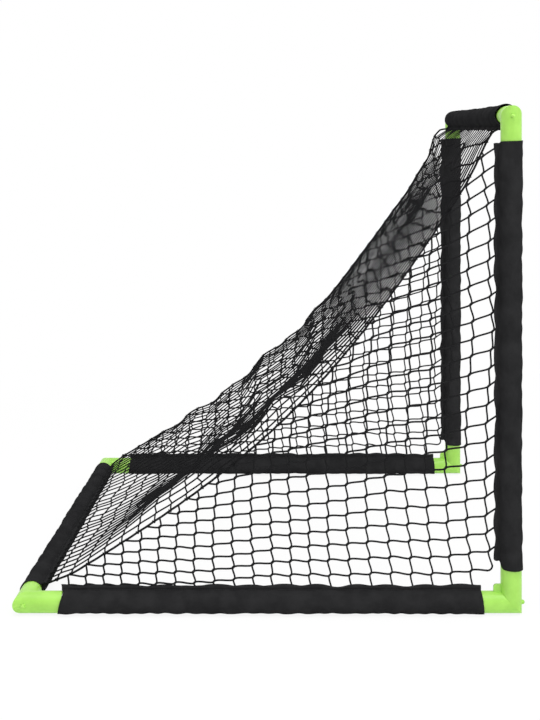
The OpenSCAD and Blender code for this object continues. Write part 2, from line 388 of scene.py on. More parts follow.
def runAlong(path):
    # how far along a path each of its points is
    return np.append(0, np.cumsum(np.linalg.norm(np.diff(path, axis=0), axis=1)))


chordAngle = math.degrees(math.atan2(topZ - baseZ, frontX - rearX))
rearFlange = heading(chordAngle - droop["rearAngle"])
topFlange = -heading(chordAngle + droop["topAngle"])
rearHem = np.array([rearX, baseZ]) + droop["hemReach"] * rearFlange
topHem = np.array([frontX, topZ]) + droop["hemReach"] * topFlange


def hangingCurve():
    # from the rear hem to the hem at the crossbar, as x and z
    tug = droop["pull"] * np.linalg.norm(topHem - rearHem)
    guides = rearHem, rearHem + tug * rearFlange, topHem + tug * topFlange, topHem
    s = np.linspace(0, 1, droop["steps"] + 1)[:, None]
    weights = (1 - s) ** 3, 3 * s * (1 - s) ** 2, 3 * s ** 2 * (1 - s), s ** 3
    return sum(weight * guide for weight, guide in zip(weights, guides))


curve = hangingCurve()
curveRun = runAlong(curve)
curveAhead = unit(np.gradient(curve, axis=0))
seamLength = curveRun[-1]


def alongCurve(t):
    # point and upward normal of the droop, as x and z, at the share t of its length
    run = np.asarray(t) * seamLength
    point = np.stack([np.interp(run, curveRun, curve[:, k]) for k in (0, 1)], -1)
    ahead = np.stack([np.interp(run, curveRun, curveAhead[:, k]) for k in (0, 1)], -1)
    return point, unit(np.stack([-ahead[..., 1], ahead[..., 0]], -1))


def flare(t):
    return np.clip(np.minimum(t, 1 - t) / droop["flare"], 0, 1)


def ripple(first, second, rng, waves=7, quickest=3.0):
    # a smooth random field of two shares, about 1 high
    total = np.zeros(np.broadcast(first, second).shape)
    for _ in range(waves):
        pace = rng.uniform(-quickest, quickest, 2)
        total += np.sin(2 * np.pi * (pace[0] * first + pace[1] * second) + rng.uniform(0, 2 * np.pi))
    return total * math.sqrt(2 / waves)


def tubeFaces(rings, sides, first=0):
    # the faces of a tube whose points count from `first`
    ring, side = np.meshgrid(np.arange(rings - 1), np.arange(sides), indexing="ij")
    here, ahead, after = ring * sides, (ring + 1) * sides, (side + 1) % sides
    quads = np.stack([here + side, here + after, ahead + after, ahead + side], -1)
    return (quads.reshape(-1, 4) + first).tolist()


def tubeMap(lengthwise, roundwise):
    # the map of a tube, corner by corner in the order of its faces
    near, low = np.meshgrid(lengthwise[:-1], roundwise[:-1], indexing="ij")
    far, high = np.meshgrid(lengthwise[1:], roundwise[1:], indexing="ij")
    corners = [np.stack(pair, -1) for pair in ((near, low), (near, high), (far, high), (far, low))]
    return np.stack(corners, 2).reshape(-1, 2)


def sweep(path, radius, facing, sides):
    # rings round a path
    path = np.asarray(path, float)
    ahead = unit(np.gradient(path, axis=0))
    aside = unit(np.cross(ahead, facing))
    above = np.cross(aside, ahead)
    turn = 2 * np.pi * np.arange(sides) / sides
    spread = np.cos(turn)[None, :, None] * aside[:, None] + np.sin(turn)[None, :, None] * above[:, None]
    return path[:, None] + np.broadcast_to(radius, len(path))[:, None, None] * spread


def twinePiece(name, strands, sides, finish):
    # one mesh of many closed tubes; its map holds metres along a strand and turns round it
    points, faces, uvs, count = [], [], [], 0
    for path, radius, facing in strands:
        rings = len(path)
        points.append(sweep(path, radius, facing, sides).reshape(-1, 3))
        faces += tubeFaces(rings, sides, count)
        uvs.append(tubeMap(runAlong(path), np.arange(sides + 1) / sides))
        ends = (np.arange(sides)[::-1] + count, np.arange(sides) + count + (rings - 1) * sides)
        faces += [end.tolist() for end in ends]
        uvs.append(np.zeros((2 * sides, 2)))
        count += rings * sides
    return addMesh(name, np.concatenate(points), faces, finish, np.concatenate(uvs))


twine = {
    "net": (30, 30, 31),
    "netLay": 3.5 * mm,  # length in which a ply goes round once
    "cord": (26, 26, 27),
    "cordLay": 6 * mm,
    "plies": 3,
    "crownHighlight": 12,  # levels by which the crowns of the plies are lighter, a painted highlight
    "crowns": (-0.8, 2.2),
    "fuzz": 2 * mm,
    "roughness": 0.6,
    "fuzzRough": 0.2,
    "relief": 0.06 * mm,
}


def twineFinish(name, colour, lay):
    board = Board(bpy.data.materials.new(name))
    lengthwise, roundwise = board.clothWay()
    twist = board.sine(lengthwise / lay + roundwise * twine["plies"], 1.0)
    fuzz = board.noise(board.place(), twine["fuzz"], 3.0)
    # the crowns of the plies are lighter in colour: a painted highlight
    dark, light = srgb(*colour), srgb(*[level + twine["crownHighlight"] for level in colour])
    board.paint({
        "Base Color": board.mix(board.between(twist + fuzz, *twine["crowns"]), dark, light),
        "Roughness": fuzz * twine["fuzzRough"] + twine["roughness"],
        "Specular IOR Level": 0.0,
        "Normal": board.bump(twist, twine["relief"]),
    })
    return board.owner


netBlack = twineFinish("net_twine", twine["net"], twine["netLay"])
cordBlack = twineFinish("seam_cord", twine["cord"], twine["cordLay"])


# Knots: strands meet in a short slanting body, and swing from one body to the next

knot = {
    "radius": 1.15 * mm,  # of a side net's twine
    "half": 1.5 * mm,  # half the length of a knot's body
    "apart": 0.46 * mm,  # of the two twines that run side by side in it
    "swell": 0.12,  # share by which a twine is thicker in a knot
    "straight": 0.8,  # how hard a twine is drawn towards the next knot
    "swing": 0.26,  # and in the direction of the knots' bodies
    "spots": (0.0, 0.16, 0.38, 0.62, 0.84, 1.0),  # rings from one knot to the next
    "closest": 0.05 * mm,  # a ring that is nearer to the one before is left out
    "sides": 5,
}


def throughKnots(knots, slants, normals, lane, radius=knot["radius"], size=1.0):
    # the line of one twine: its knots in order, the slant of each body, and its side in the body
    body = size * knot["half"] * slants
    beside = size * lane * knot["apart"] * np.cross(slants, normals)
    arrive, leave = knots - body + beside, knots + body + beside
    loose = np.linalg.norm(slants, axis=1) < 0.5  # an end that no knot holds
    arrive[loose], leave[loose] = knots[loose], knots[loose]
    line, thick = [arrive[0]], [radius]
    for k in range(len(knots) - 1):
        start, gap = leave[k], arrive[k + 1] - leave[k]
        swing = knot["swing"] * np.linalg.norm(gap)
        outward = knot["straight"] * gap + swing * slants[k]
        inward = knot["straight"] * gap + swing * slants[k + 1]
        for spot in knot["spots"]:
            ease = spot * (1 - spot)
            line.append(start + smooth(spot) * gap + ease * (1 - spot) * outward - ease * spot * inward)
            thick.append(radius * (1 + size * knot["swell"] if spot in (0.0, 1.0) else 1.0))
    line, thick = np.array(line + [leave[-1]]), np.array(thick + [radius])
    fresh = np.append(True, np.linalg.norm(np.diff(line, axis=0), axis=1) > knot["closest"])
    return line[fresh], thick[fresh]


# Seam cords, scalloped a little where the nets pull

backRows, backColumns = 34, 30  # meshes of the back net, along the cords and across

seamCords = {
    "radius": 1.35 * mm,
    "gap": 2.55 * mm,  # from the middle of a cord to the edge of the back net
    "scallop": 0.15 * mm,
    "sides": 8,
    "rings": 220,
    # where a cord stands off the droop: share of its length, half the length of the bump, and its
    # height in millimetres
    "lifts": {
        -1: ((0.97, 0.09, 5.5),),
        1: ((0.02, 0.05, 2.5), (0.15, 0.035, -3), (0.19, 0.03, 2.5), (0.24, 0.035, -4.5),
            (0.325, 0.03, -2.5), (0.385, 0.05, 7), (0.445, 0.03, 1.5), (0.48, 0.03, -2.5),
            (0.525, 0.04, 3), (0.67, 0.12, 1.2), (0.84, 0.06, -2), (0.975, 0.055, 12)),
    },
    "liftEnd": 0.012,  # share of the length in which the bumps end at the crossbar
    "probe": 0.001,  # share of the length over which a direction is taken
    # the twine that laces it to the nets, round the cord at each mesh
    "laceTurns": 1.25,
    "laceRings": 12,  # for each turn
    "lacePitch": 2.2 * knot["radius"],
    "laceRadius": 0.6 * knot["radius"],
    "laceRise": 0.3 * knot["radius"],
}


def seamLift(side, t):
    # how far a cord stands off the droop, in metres
    bumps = sum(tall * hump((t - at) / long) for at, long, tall in seamCords["lifts"][side])
    return bumps * mm * np.clip((1 - t) / seamCords["liftEnd"], 0, 1)


def cordPath(side, t):
    point, up = alongCurve(t)
    half = droop["hemHalf"] + (droop["netHalf"] - droop["hemHalf"]) * flare(t) + seamCords["gap"]
    wave = seamCords["scallop"] * np.cos(2 * np.pi * backRows * t) * flare(t) + seamLift(side, t)
    point = point + wave[:, None] * up
    return np.stack([point[:, 0], side * half, point[:, 1]], -1)


def laceRound(centre, ahead):
    # a turn of twine round a cord
    turns = seamCords["laceTurns"]
    helper = unit(np.cross(ahead, (0, 1, 0)))
    other = np.cross(ahead, helper)
    angle = np.linspace(0, 2 * np.pi * turns, int(seamCords["laceRings"] * turns))
    climb = (angle / angle[-1] - 0.5) * turns * seamCords["lacePitch"]
    out = np.cos(angle)[:, None] * helper + np.sin(angle)[:, None] * other
    return centre + (seamCords["radius"] + seamCords["laceRise"]) * out + climb[:, None] * ahead


def seamCord(name, side):
    t = np.linspace(0, 1, seamCords["rings"])
    strands = [(cordPath(side, t), seamCords["radius"], (0, 1, 0))]
    spots, probe = np.arange(1, backRows) / backRows, seamCords["probe"]
    ahead = unit(cordPath(side, spots + probe) - cordPath(side, spots - probe))
    for centre, direction in zip(cordPath(side, spots), ahead):
        strands.append((laceRound(centre, direction), seamCords["laceRadius"], direction))
    cord = twinePiece(name + "_laced", strands, seamCords["sides"], cordBlack)
    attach(cord, "root")
    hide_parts(name)


seamCord("left_seam_cord", -1)
seamCord("right_seam_cord", 1)
print("seam cords laid, each", round(seamLength, 3), "m")


# Side nets, in side view and in millimetres

hemX, hemZ = (frontX - droop["hemReach"]) / mm, (baseZ + droop["hemReach"]) / mm

sideNet = {
    "columns": 26,
    "rows": 25,
    "firstColumn": 270.8,  # x of the column beside the post, at the floor
    "pitch": 24.9,
    "narrowing": 0.062,  # by how much the pitch shrinks from column to column
    # how far the first column leans forward: height, and shift
    "lean": ((34, 0), (100, -8), (165, -11), (235, -9), (340, -2), (405, -8), (480, -4), (530, -13),
             (560, -16)),
    "leanFade": 0.06,  # share that the next column leans less
    # the lowest row: x, and height
    "firstRow": ((-190, 36), (-75, 38), (-37, 41.5), (0, 45.3), (95, 47), (131, 49.5), (160, 48),
                 (205, 45.5), (256, 50), (275, 53)),
    # the rows fan out from x at the rear, with their pitch there and at the post
    "slackEnd": -200.0,
    "slackPitch": 13.6,
    "tautPitch": 22.0,
    "fanPower": 1.1,
    "fanLimit": 1.1,
    "footPitch": ((35, -0.07), (165, 0), (250, 0.06)),  # x, and share by which the lowest meshes differ
    "footRows": 3.0,
    "rounds": 4,  # of finding x from the height and the height from x
    "wander": 0.9,
    "waveMeshes": 20,
    "noise": 0.25,
    # near the seam the net is drawn down and forward, except next to the post
    "seamShift": (4.2, -4.2),
    "seamFade": 25.0,
    "seamFree": (280.8, 220.8),  # x where this begins, and where it is whole
    "clear": 3.0,  # of the last knots below the seam
    "halvings": 30,
    "postSlope": 0.65,  # of the rows' ends at the post
    "footShift": 2.0,  # of the columns' ends at the floor
    # the free corner, where the lowest row turns up into the first column
    "cornerRadius": 6.0,
    "cornerRings": 6,
    "cornerShift": 4.0,
    "tailShift": -2.5,
    # where the twines in the flanges end, from the axes of the pipes or from the hem
    "postHem": 60,
    "rearHem": 30,
    "frontHem": 40,
}


def seamLine(side):
    t = np.linspace(0, 1, droop["steps"] + 1)
    point, up = alongCurve(t)
    return (point + seamLift(side, t)[:, None] * up) / mm


def sideKnot(i, j):
    # column i and row j count from the free corner at the front and the floor
    net = sideNet
    foot = net["firstColumn"] - net["pitch"] * i + net["narrowing"] * i * i
    x, z = foot, 0.0
    for _ in range(net["rounds"]):
        forward = (x - net["slackEnd"]) / (net["firstColumn"] - net["slackEnd"])
        fan = np.clip(forward, 0, net["fanLimit"]) ** net["fanPower"]
        pitch = net["slackPitch"] + (net["tautPitch"] - net["slackPitch"]) * fan
        extra = lookUp(net["footPitch"], x) * net["footRows"] * (1 - math.exp(-j / net["footRows"]))
        z = lookUp(net["firstRow"], x) + pitch * (j + extra)
        x = foot + lookUp(net["lean"], z) * max(0.0, 1 - net["leanFade"] * i)
    return np.array([x, z])


def sideKnots(seam, rng):
    net = sideNet
    knots = np.array([[sideKnot(i, j) for j in range(net["rows"])] for i in range(net["columns"])])
    ways = [np.arange(net[count]) / net["waveMeshes"] for count in ("columns", "rows")]
    i, j = np.meshgrid(*ways, indexing="ij")
    knots[..., 0] += net["wander"] * ripple(i, j, rng)
    knots[..., 1] += net["wander"] * ripple(i, j, rng)
    knots += rng.normal(0, net["noise"], knots.shape)
    away = np.array([[min(np.hypot(*(seam - p).T)) for p in column] for column in knots])
    drawn = ramp(knots[..., 0], *net["seamFree"]) * np.exp(-away / net["seamFade"])
    return knots + drawn[..., None] * np.array(net["seamShift"])


class SideLattice:
    # the knots of one side net, and the strands that run through them
    def __init__(self, side, seed):
        self.side = side
        self.seam = seamLine(side)
        self.knots = sideKnots(self.seam, np.random.default_rng(seed))
        self.inside = np.array([[self.below(p) for p in column] for column in self.knots])
        self.plane = np.array([0.0, -side, 0.0])
        self.strands = []

    def aboveSeam(self, p):
        return p[1] - np.interp(p[0], *self.seam.T)

    def below(self, p):
        return self.aboveSeam(p) < -sideNet["clear"] and p[0] > rearHem[0] / mm

    def standing(self, p, y=sideY):
        return np.array([p[0] * mm, self.side * y, p[1] * mm])

    def toSeam(self, last, beyond):
        # where the line between two points crosses the seam
        low, high = 0.0, 1.0
        for _ in range(sideNet["halvings"]):
            half = (low + high) / 2
            if self.aboveSeam(last + half * (beyond - last)) > 0:
                high = half
            else:
                low = half
        return self.standing(last + low * (beyond - last), droop["netHalf"] + seamCords["gap"])

    def addStrand(self, points, held, lane):
        slants = np.where(np.array(held)[:, None], unit((1, 0, 1)), 0.0)
        normals = np.tile(self.plane, (len(points), 1))
        line, thick = throughKnots(np.array(points), slants, normals, lane * self.side)
        self.strands.append((line, thick, self.plane))

    def addRow(self, j):
        # from the seam to the hem at the post
        row = self.knots[:, j]
        last = np.flatnonzero(self.inside[:, j])[-1]
        tip = self.toSeam(row[last], row[min(last + 1, len(row) - 1)])
        post = hemX, row[0][1] + sideNet["postSlope"] * (hemX - row[0][0])
        points = [tip] + [self.standing(p) for p in row[last::-1]] + [self.standing(post)]
        self.addStrand(points, [False] + [True] * (last + 1) + [False], 1)

    def addColumn(self, i):
        # from the hem at the floor to the seam
        column = self.knots[i]
        last = np.flatnonzero(self.inside[i])[-1]
        tip = self.toSeam(column[last], column[min(last + 1, len(column) - 1)])
        foot = column[0][0] + sideNet["footShift"], hemZ
        points = [self.standing(foot)] + [self.standing(p) for p in column[:last + 1]] + [tip]
        self.addStrand(points, [False] + [True] * (last + 1) + [False], -1)

    def addCorner(self):
        # the first row and the first column are one twine, round the free corner
        knots, radius = self.knots, sideNet["cornerRadius"]
        low, high = np.flatnonzero(self.inside[1:, 0]) + 1, np.flatnonzero(self.inside[0, 1:]) + 1
        turnX, turnZ = knots[0, 1][0] + sideNet["cornerShift"] - radius, knots[1, 0][1] + radius
        turn = np.linspace(0, math.pi / 2, sideNet["cornerRings"])
        bend = [(turnX + radius * math.sin(a), turnZ - radius * math.cos(a)) for a in turn]
        tail = knots[low[-1], 0][0] + sideNet["tailShift"], hemZ
        tip = self.toSeam(knots[0, high[-1]], knots[0, min(high[-1] + 1, sideNet["rows"] - 1)])
        path = [tail] + [knots[i, 0] for i in low[::-1]] + bend + [knots[0, j] for j in high]
        held = [False] + [True] * len(low) + [False] * len(bend) + [True] * len(high) + [False]
        self.addStrand([self.standing(p) for p in path] + [tip], held, 0)

    def addHems(self):
        # straight twines that lie in the flanges
        net = sideNet
        upright = (hemX, baseZ / mm + net["postHem"]), (hemX, topZ / mm - net["postHem"])
        level = (rearHem[0] / mm + net["rearHem"], hemZ), (hemX - net["frontHem"], hemZ)
        for ends in (upright, level):
            self.strands.append(([self.standing(end) for end in ends], knot["radius"], self.plane))


def sideNetPiece(name, side, seed):
    lattice = SideLattice(side, seed)
    for j in range(1, sideNet["rows"]):
        if lattice.inside[:, j].any():
            lattice.addRow(j)
    for i in range(1, sideNet["columns"]):
        if lattice.inside[i].any():
            lattice.addColumn(i)
    lattice.addCorner()
    lattice.addHems()
    net = twinePiece(name + "_twine", lattice.strands, knot["sides"], netBlack)
    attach(net, "root")
    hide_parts(name)


sideNetPiece("left_side_net", -1, 11)
sideNetPiece("right_side_net", 1, 12)
print("side nets knotted")


# Back net. Its places are given as t, from 0 at the rear hem to 1 at the crossbar, and v, from -1 at
# the near cord to 1 at the far one. A pair of places says where something is 0 and where it is whole.

backNet = {
    "edge": 290.05 * mm,  # where its border is laced to the cords
    "slack": ((0.05, 0.15), (0.60, 0.50)),  # t where the loose part begins, and where it ends
    "inner": ((1.0, 0.85), (0.0, 0.05)),  # v off the cords, and t off the hems, where knots can wander
    # by how much the knots stray in the taut part and in the loose one, as a share of the mesh
    "strayAlong": (0.12, 0.16),
    "strayAcross": (0.01, 0.03),
    # how quickly each ripple changes with t and v
    "alongPace": (2, 1.5),
    "acrossPace": (3, 1),
    "wavePace": (3, 0.25),
    "noise": (0.05, 0.012),  # along and across
    "calm": 0.25,  # share of the noise along the net that is left in the taut part
    "waves": 1.5 * mm,
    "bow": 0.020,  # how far the rows hang down the slope in the middle, as a share of its length
    "bowPower": 4,
    "bowLoose": 0.8,  # share of the bow that the loose part lacks
    "bowEase": ((0.0, 0.22), (1.0, 0.94)),
    # twines bunch at the hems: row, and by how much, from -1 to 1
    "bunch": ((0, 0.12), (1, -0.08), (2, 0), (31, 0), (32, -0.10), (33, -0.22), (34, 0.2)),
    "bunches": 2.3,
    "bunchDrift": (1.2, 3.1),
    "bunchFree": (1.0, 0.9),
    # they spread at the crossbar: row, and by how much, about v and within a reach
    "fan": ((28, 0), (32, 0.09), (34, 0.13)),
    "fanMiddle": -0.1,
    "fanReach": 0.9,
    # a fold runs along the near cord, with a crest and a valley: t, and height in millimetres or v
    "crest": ((0.05, 0), (0.10, 1), (0.14, 3), (0.20, 9), (0.26, 12), (0.31, 11), (0.36, 4), (0.41, 9),
              (0.45, 15), (0.50, 5), (0.55, 6), (0.60, 2), (0.66, 0)),
    "crestPlace": ((0.12, -0.93), (0.24, -0.80), (0.30, -0.78), (0.36, -0.86), (0.45, -0.74),
                   (0.50, -0.86), (0.56, -0.72), (0.62, -0.76)),
    "valley": ((0.01, 0), (0.06, -6), (0.12, -11), (0.20, -12), (0.30, -7), (0.45, -4), (0.60, 0)),
    "valleyPlace": -0.08,
    "valleyFree": (0.75, 0.15),
    # how the net follows the bumps of the far cord in the loose part, and from `tautFrom` on
    "farBegins": (-0.45, -0.10),
    "farWhole": (0.15, 1.0),
    "tautFrom": (0.5, 0.7),
    "farSwell": 0.3,  # share by which its loose bumps are higher, about v and within a reach
    "farSwellMiddle": 0.4,
    "farSwellReach": 0.6,
    "nearLift": (0.2, -1.0),  # and how it follows those of the near cord
    "rowRadius": 1.02 * mm,
    # of the twines that run down the slope: t, and radius in millimetres
    "radius": ((0.02, 0.94), (0.3, 1.03), (0.5, 1.04), (0.64, 1.10), (0.84, 1.13), (0.92, 0.96),
               (0.98, 0.78)),
    # share of it that is left on the far side: t and share, and v where this begins and is whole
    "farRadius": ((0.55, 1.0), (0.66, 0.92), (0.78, 0.89), (0.88, 0.84), (0.95, 0.95)),
    "farSide": (-0.05, 0.45),
    "knotSize": 0.3,
}


def foldHeight(t, v):
    # of the crest and the valley, in metres
    crestPlace = lookUp(backNet["crestPlace"], t)
    rise = ramp(v, -1, crestPlace)
    fall = ramp(v, crestPlace, backNet["valleyPlace"])
    crest = lookUp(backNet["crest"], t) * rise * (1 - fall)
    return (crest + lookUp(backNet["valley"], t) * fall * ramp(v, *backNet["valleyFree"])) * mm


def cordHeight(t, v, loose):
    # what the bumps of both cords do to the net, in metres
    net = backNet
    taut = ramp(t, *net["tautFrom"])
    far = ramp(v, blend(net["farBegins"], taut), blend(net["farWhole"], taut))
    swell = 1 + net["farSwell"] * loose * hump((v - net["farSwellMiddle"]) / net["farSwellReach"])
    return far * swell * seamLift(1, t) + ramp(v, *net["nearLift"]) * seamLift(-1, t)


def rippleOver(t, v, pace, rng):
    return ripple(pace[0] * t, pace[1] * v, rng)


def backKnots(rng):
    net = backNet
    row = np.arange(backRows + 1)[:, None] * np.ones(backColumns + 1)
    t = row / backRows
    v = np.linspace(-1, 1, backColumns + 1)[None, :] * np.ones((backRows + 1, 1))
    loose = ramp(t, *net["slack"][0]) * ramp(t, *net["slack"][1])
    inner = ramp(np.abs(v), *net["inner"][0]) * ramp(np.minimum(t, 1 - t), *net["inner"][1])
    # knots wander: along the net without a change of height, and across
    shake = net["noise"][0] * blend((net["calm"], 1.0), loose) * rng.normal(size=t.shape)
    stray = blend(net["strayAlong"], loose) * rippleOver(t, v, net["alongPace"], rng)
    stagger = inner * (stray + shake) / backRows
    bow = net["bow"] * (1 - v ** net["bowPower"]) * (1 - net["bowLoose"] * loose)
    t = t - bow * ramp(t, *net["bowEase"][0]) * ramp(t, *net["bowEase"][1])
    stray = blend(net["strayAcross"], loose) * rippleOver(t, v, net["acrossPace"], rng)
    v = v + 2 / backColumns * inner * (stray + net["noise"][1] * rng.normal(size=t.shape))
    # they bunch at the hems and spread at the crossbar
    turn, (drift, pace) = 2 * np.pi * net["bunches"], net["bunchDrift"]
    bunched = lookUp(net["bunch"], row) * ramp(np.abs(v), *net["bunchFree"])
    v = v + bunched * np.sin(turn * v + drift * np.sin(pace * v)) / turn
    v = v + lookUp(net["fan"], row) * hump((v - net["fanMiddle"]) / net["fanReach"])
    waves = net["waves"] * loose * inner * rippleOver(t, v, net["wavePace"], rng)
    height = foldHeight(t, v) + waves + cordHeight(t, v, loose)
    point, up = alongCurve(t + stagger)
    point = point + height[..., None] * up
    half = droop["hemHalf"] + (net["edge"] - droop["hemHalf"]) * flare(t)
    return np.stack([point[..., 0], half * v, point[..., 1]], -1)


def backNetPiece(name, seed):
    knots, size = backKnots(np.random.default_rng(seed)), backNet["knotSize"]
    downhill = unit(np.gradient(knots, axis=0))
    across = unit(np.gradient(knots, axis=1))
    normal = unit(np.cross(across, downhill))
    slant = unit(downhill + across)
    slant[0], slant[-1], slant[:, 0], slant[:, -1] = 0, 0, 0, 0
    strands = []
    for i in range(1, backRows):
        line, thick = throughKnots(knots[i], slant[i], normal[i], 1, backNet["rowRadius"], size)
        strands.append((line, thick, normal[i].mean(0)))
    for j in range(1, backColumns):
        # a radius of 1 mm, times what the tables say
        line, thick = throughKnots(knots[:, j], slant[:, j], normal[:, j], -1, mm, size)
        t, v = np.linspace(0, 1, len(line)), 2 * j / backColumns - 1
        thinned = 1 + ramp(v, *backNet["farSide"]) * (lookUp(backNet["farRadius"], t) - 1)
        strands.append((line, thick * lookUp(backNet["radius"], t) * thinned, (0, 1, 0)))
    for i in (0, backRows):
        strands.append((knots[i], backNet["rowRadius"], normal[i].mean(0)))
    net = twinePiece(name + "_twine", strands, knot["sides"], netBlack)
    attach(net, "root")
    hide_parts(name)


backNetPiece("back_net", 5)
print("back net hung")


# Sleeves: one strip of fabric each, folded round its pipe and sewn along a flange that holds the hem

sleeve = {
    # lengths in millimetres
    "round": 13.9,  # radius of the fabric round the pipe
    "roundPoints": 25,
    "opening": 6.0,  # degrees to each side of the flange where the round ends
    "flange": ((15.3, 1.1), (16.7, 1.8), (18.7, 1.7), (20.1, 1.2)),  # reach, and distance from its middle
    "tip": 20.5,
    "pocket": (15, 18),  # reach of the fabric that is sewn to the hem
    "ring": 4.5,
    # lumps on the round start the folds: height, length, turn in radians, and waves that make them up
    "lumps": 0.36,
    "lumpLength": 17.0,
    "lumpTurn": 3.5,
    "lumpWaves": 12,
    # the edge of the flange waves: height, length, and from the round to where the waves are whole
    "edgeWave": 0.65,
    "edgeLength": 30.0,
    "edgeRise": 5.0,
    "spare": 0.007,  # share of spare length, which gathers in small folds
    "frames": 14,
    "scale": 10.0,  # the cloth is worked out larger than life, where the solver is steady
    # the settled fabric stays between these radii, and farther off near the fittings
    "leastRound": 12.2,
    "mostRound": 15.6,
    "overFitting": 13.1,
    "fittingReach": 50,
    "aboveFloor": 0.1,
    "skin": 0.5,
}

solverSettings = {
    "quality": 6,
    "mass": 0.02,
    "tension_stiffness": 40,
    "compression_stiffness": 40,
    "shear_stiffness": 12,
    "bending_stiffness": 0.6,
    "tension_damping": 20,
    "compression_damping": 20,
    "shear_damping": 10,
    "bending_damping": 1.5,
    "air_damping": 4,
    "vertex_group_mass": "held",
    "shrink_min": -sleeve["spare"],
    "use_pressure": True,
    "uniform_pressure_force": 1.0,
}
solverGravity = 0.02

# each end of a sleeve: its distance to the corner's axes, by degrees round the sleeve from its flange
sleeveEnds = {
    "left_post_sleeve": ({0: 52, 25: 42, 180: 40}, {0: 33, 20: 30.4, 180: 29.3}),
    "right_post_sleeve": ({0: 45, 30: 37, 180: 36}, {0: 33, 40: 32, 180: 31}),
    "left_base_sleeve": ({0: 36.5, 180: 32.5}, {0: 43, 18: 47.5, 90: 44, 180: 38.6, 270: 43, 342: 47.5}),
    "right_base_sleeve": ({0: 33, 180: 31}, {0: 38, 20: 42, 180: 37, 340: 42}),
    "crossbar_sleeve": ({0: 14, 25: 22, 57: 33, 90: 27, 130: 21, 240: 33, 320: 22},
                        {0: 6, 15: 2, 30: 1, 57: 2, 147: 2, 237: 7, 300: 20}),
    "rear_bar_sleeve": ({0: 33, 180: 34, 270: 31}, {0: 33, 270: 30}),
}
# how far the near end of a sleeve stands off, at how many degrees, how wide in radians, and how long
sleeveBulge = {"crossbar_sleeve": (2.6, 110, 1.9, 75)}


def sleeveSection():
    # one way round the fabric, from one side of the flange to the other
    turn = np.radians(np.linspace(sleeve["opening"], 360 - sleeve["opening"], sleeve["roundPoints"]))
    body = np.stack([np.cos(turn), np.sin(turn)], -1) * sleeve["round"]
    wing, tip = np.array(sleeve["flange"]), [(sleeve["tip"], 0.0)]
    return np.concatenate([body, wing * (1, -1), tip, wing[::-1]])


section = sleeveSection()
sectionReach = np.hypot(*section.T)
sectionRun = runAlong(np.append(section, section[:1], axis=0))
stitchLine = sectionRun[sleeve["roundPoints"]] * mm  # where the round goes over into the flange


def sleeveLayout():
    # each sleeve: its name, where its axis starts, the axis, the way of its flange, and the length
    up, back, across = (0, 0, 1), (-1, 0, 0), (0, 1, 0)
    topWay, rearWay = (topFlange[0], 0, topFlange[1]), (rearFlange[0], 0, rearFlange[1])
    layout = []
    for which, side in (("left", -1), ("right", 1)):
        corner = (frontX, side * sideY, baseZ)
        layout.append((which + "_post_sleeve", corner, up, back, topZ - baseZ))
        layout.append((which + "_base_sleeve", corner, back, up, frontX - rearX))
    layout.append(("crossbar_sleeve", (frontX, -sideY, topZ), across, topWay, 2 * sideY))
    layout.append(("rear_bar_sleeve", (rearX, -sideY, baseZ), across, rearWay, 2 * sideY))
    return layout


def sleevePoints(name, start, axis, flange, length, seed):
    # the fabric before it settles, in rings along the pipe
    rng = np.random.default_rng(seed)
    angle = np.arctan2(section[:, 1], section[:, 0])
    degrees = np.degrees(angle)
    edges = [np.interp(degrees, list(rim), list(rim.values()), period=360) for rim in sleeveEnds[name]]
    rings = int(round((length / mm - edges[0].mean() - edges[1].mean()) / sleeve["ring"])) + 1
    share = np.linspace(0, 1, rings)[:, None]
    along = edges[0] + share * (length / mm - edges[1] - edges[0])
    turn = angle / sleeve["lumpTurn"]
    lumps = ripple(along / sleeve["lumpLength"], turn, rng, sleeve["lumpWaves"], quickest=1.0)
    waves = ripple(along / sleeve["edgeLength"], 0 * along, rng, quickest=1.0)
    onFlange = sectionReach - sleeve["flange"][0][0]
    waves = sleeve["edgeWave"] * waves * smooth(onFlange / sleeve["edgeRise"])
    out = np.where(onFlange < 0, sleeve["lumps"] * lumps, waves)
    if name in sleeveBulge:
        swell, side, width, run = sleeveBulge[name]
        fade = smooth(1 - (along - edges[0]) / run)
        out = out + swell * hump((angle - math.radians(side)) / width) * fade
    place = section[None] * (1 + out / sectionReach)[..., None]
    axis, flange = np.asarray(axis, float), np.asarray(flange, float)
    beside = np.cross(axis, flange)
    spots = along[..., None] * axis + place[..., :1] * flange + place[..., 1:] * beside
    return np.asarray(start) + mm * spots


def heldPoints(piece):
    # the seams of a sleeve hold still: its ends and the pocket of its flange
    grip = np.zeros(piece.shape[:2], bool)
    grip[0] = grip[-1] = True
    grip[:, (sectionReach > sleeve["pocket"][0]) & (sectionReach < sleeve["pocket"][1])] = True
    return grip.ravel()


